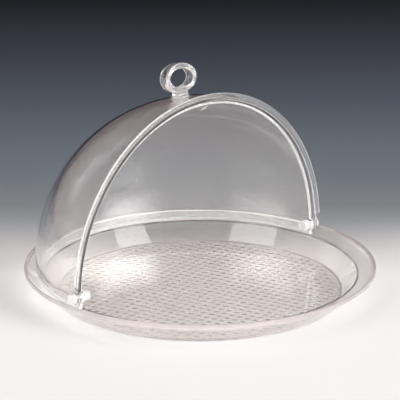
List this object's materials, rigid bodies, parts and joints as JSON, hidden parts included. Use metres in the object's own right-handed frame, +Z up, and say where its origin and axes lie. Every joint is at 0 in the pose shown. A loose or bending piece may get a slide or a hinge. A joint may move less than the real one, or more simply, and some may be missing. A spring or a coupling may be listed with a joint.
{
  "type": "roll-top buffet food cover",
  "caption": "Round clear serving tray with a fixed rear quarter dome and a front quarter dome that rolls back over it on side pivots, lifted by a ring handle.",
  "frame": {"origin": "middle of the tray's flat underside, on the table", "axes": "+Z up, X along the pivot axis of the rolling dome, open side towards -Y"},
  "size_m": [0.4, 0.4, 0.259],
  "materials": {
    "clear_moulding": "clear polished polycarbonate with a faint rose tint at the edges",
    "clear_fitting": "clear polished plastic, thick, moulded"
  },
  "bodies": {
    "tray": {"tray": "clear_moulding"},
    "rear_cover": {"rear_shell": "clear_moulding", "pivot_knob_left": "clear_fitting", "pivot_knob_right": "clear_fitting", "pivot_cap_left": "clear_fitting", "pivot_cap_right": "clear_fitting", "slip_washer_left": "clear_fitting", "slip_washer_right": "clear_fitting"},
    "front_cover": {"front_shell": "clear_moulding", "handle_base": "clear_fitting", "ring_handle": "clear_fitting"}
  },
  "joints": [
    {"name": "cover_lift", "type": "slide", "parent": "tray", "child": "rear_cover", "axis": [0, 0, 1], "range_m": [0, 0.15]},
    {"name": "front_roll", "type": "hinge", "parent": "rear_cover", "child": "front_cover", "pos_m": [0, 0, 0.036], "axis": [1, 0, 0], "range_deg": [0, 90]}
  ]
}
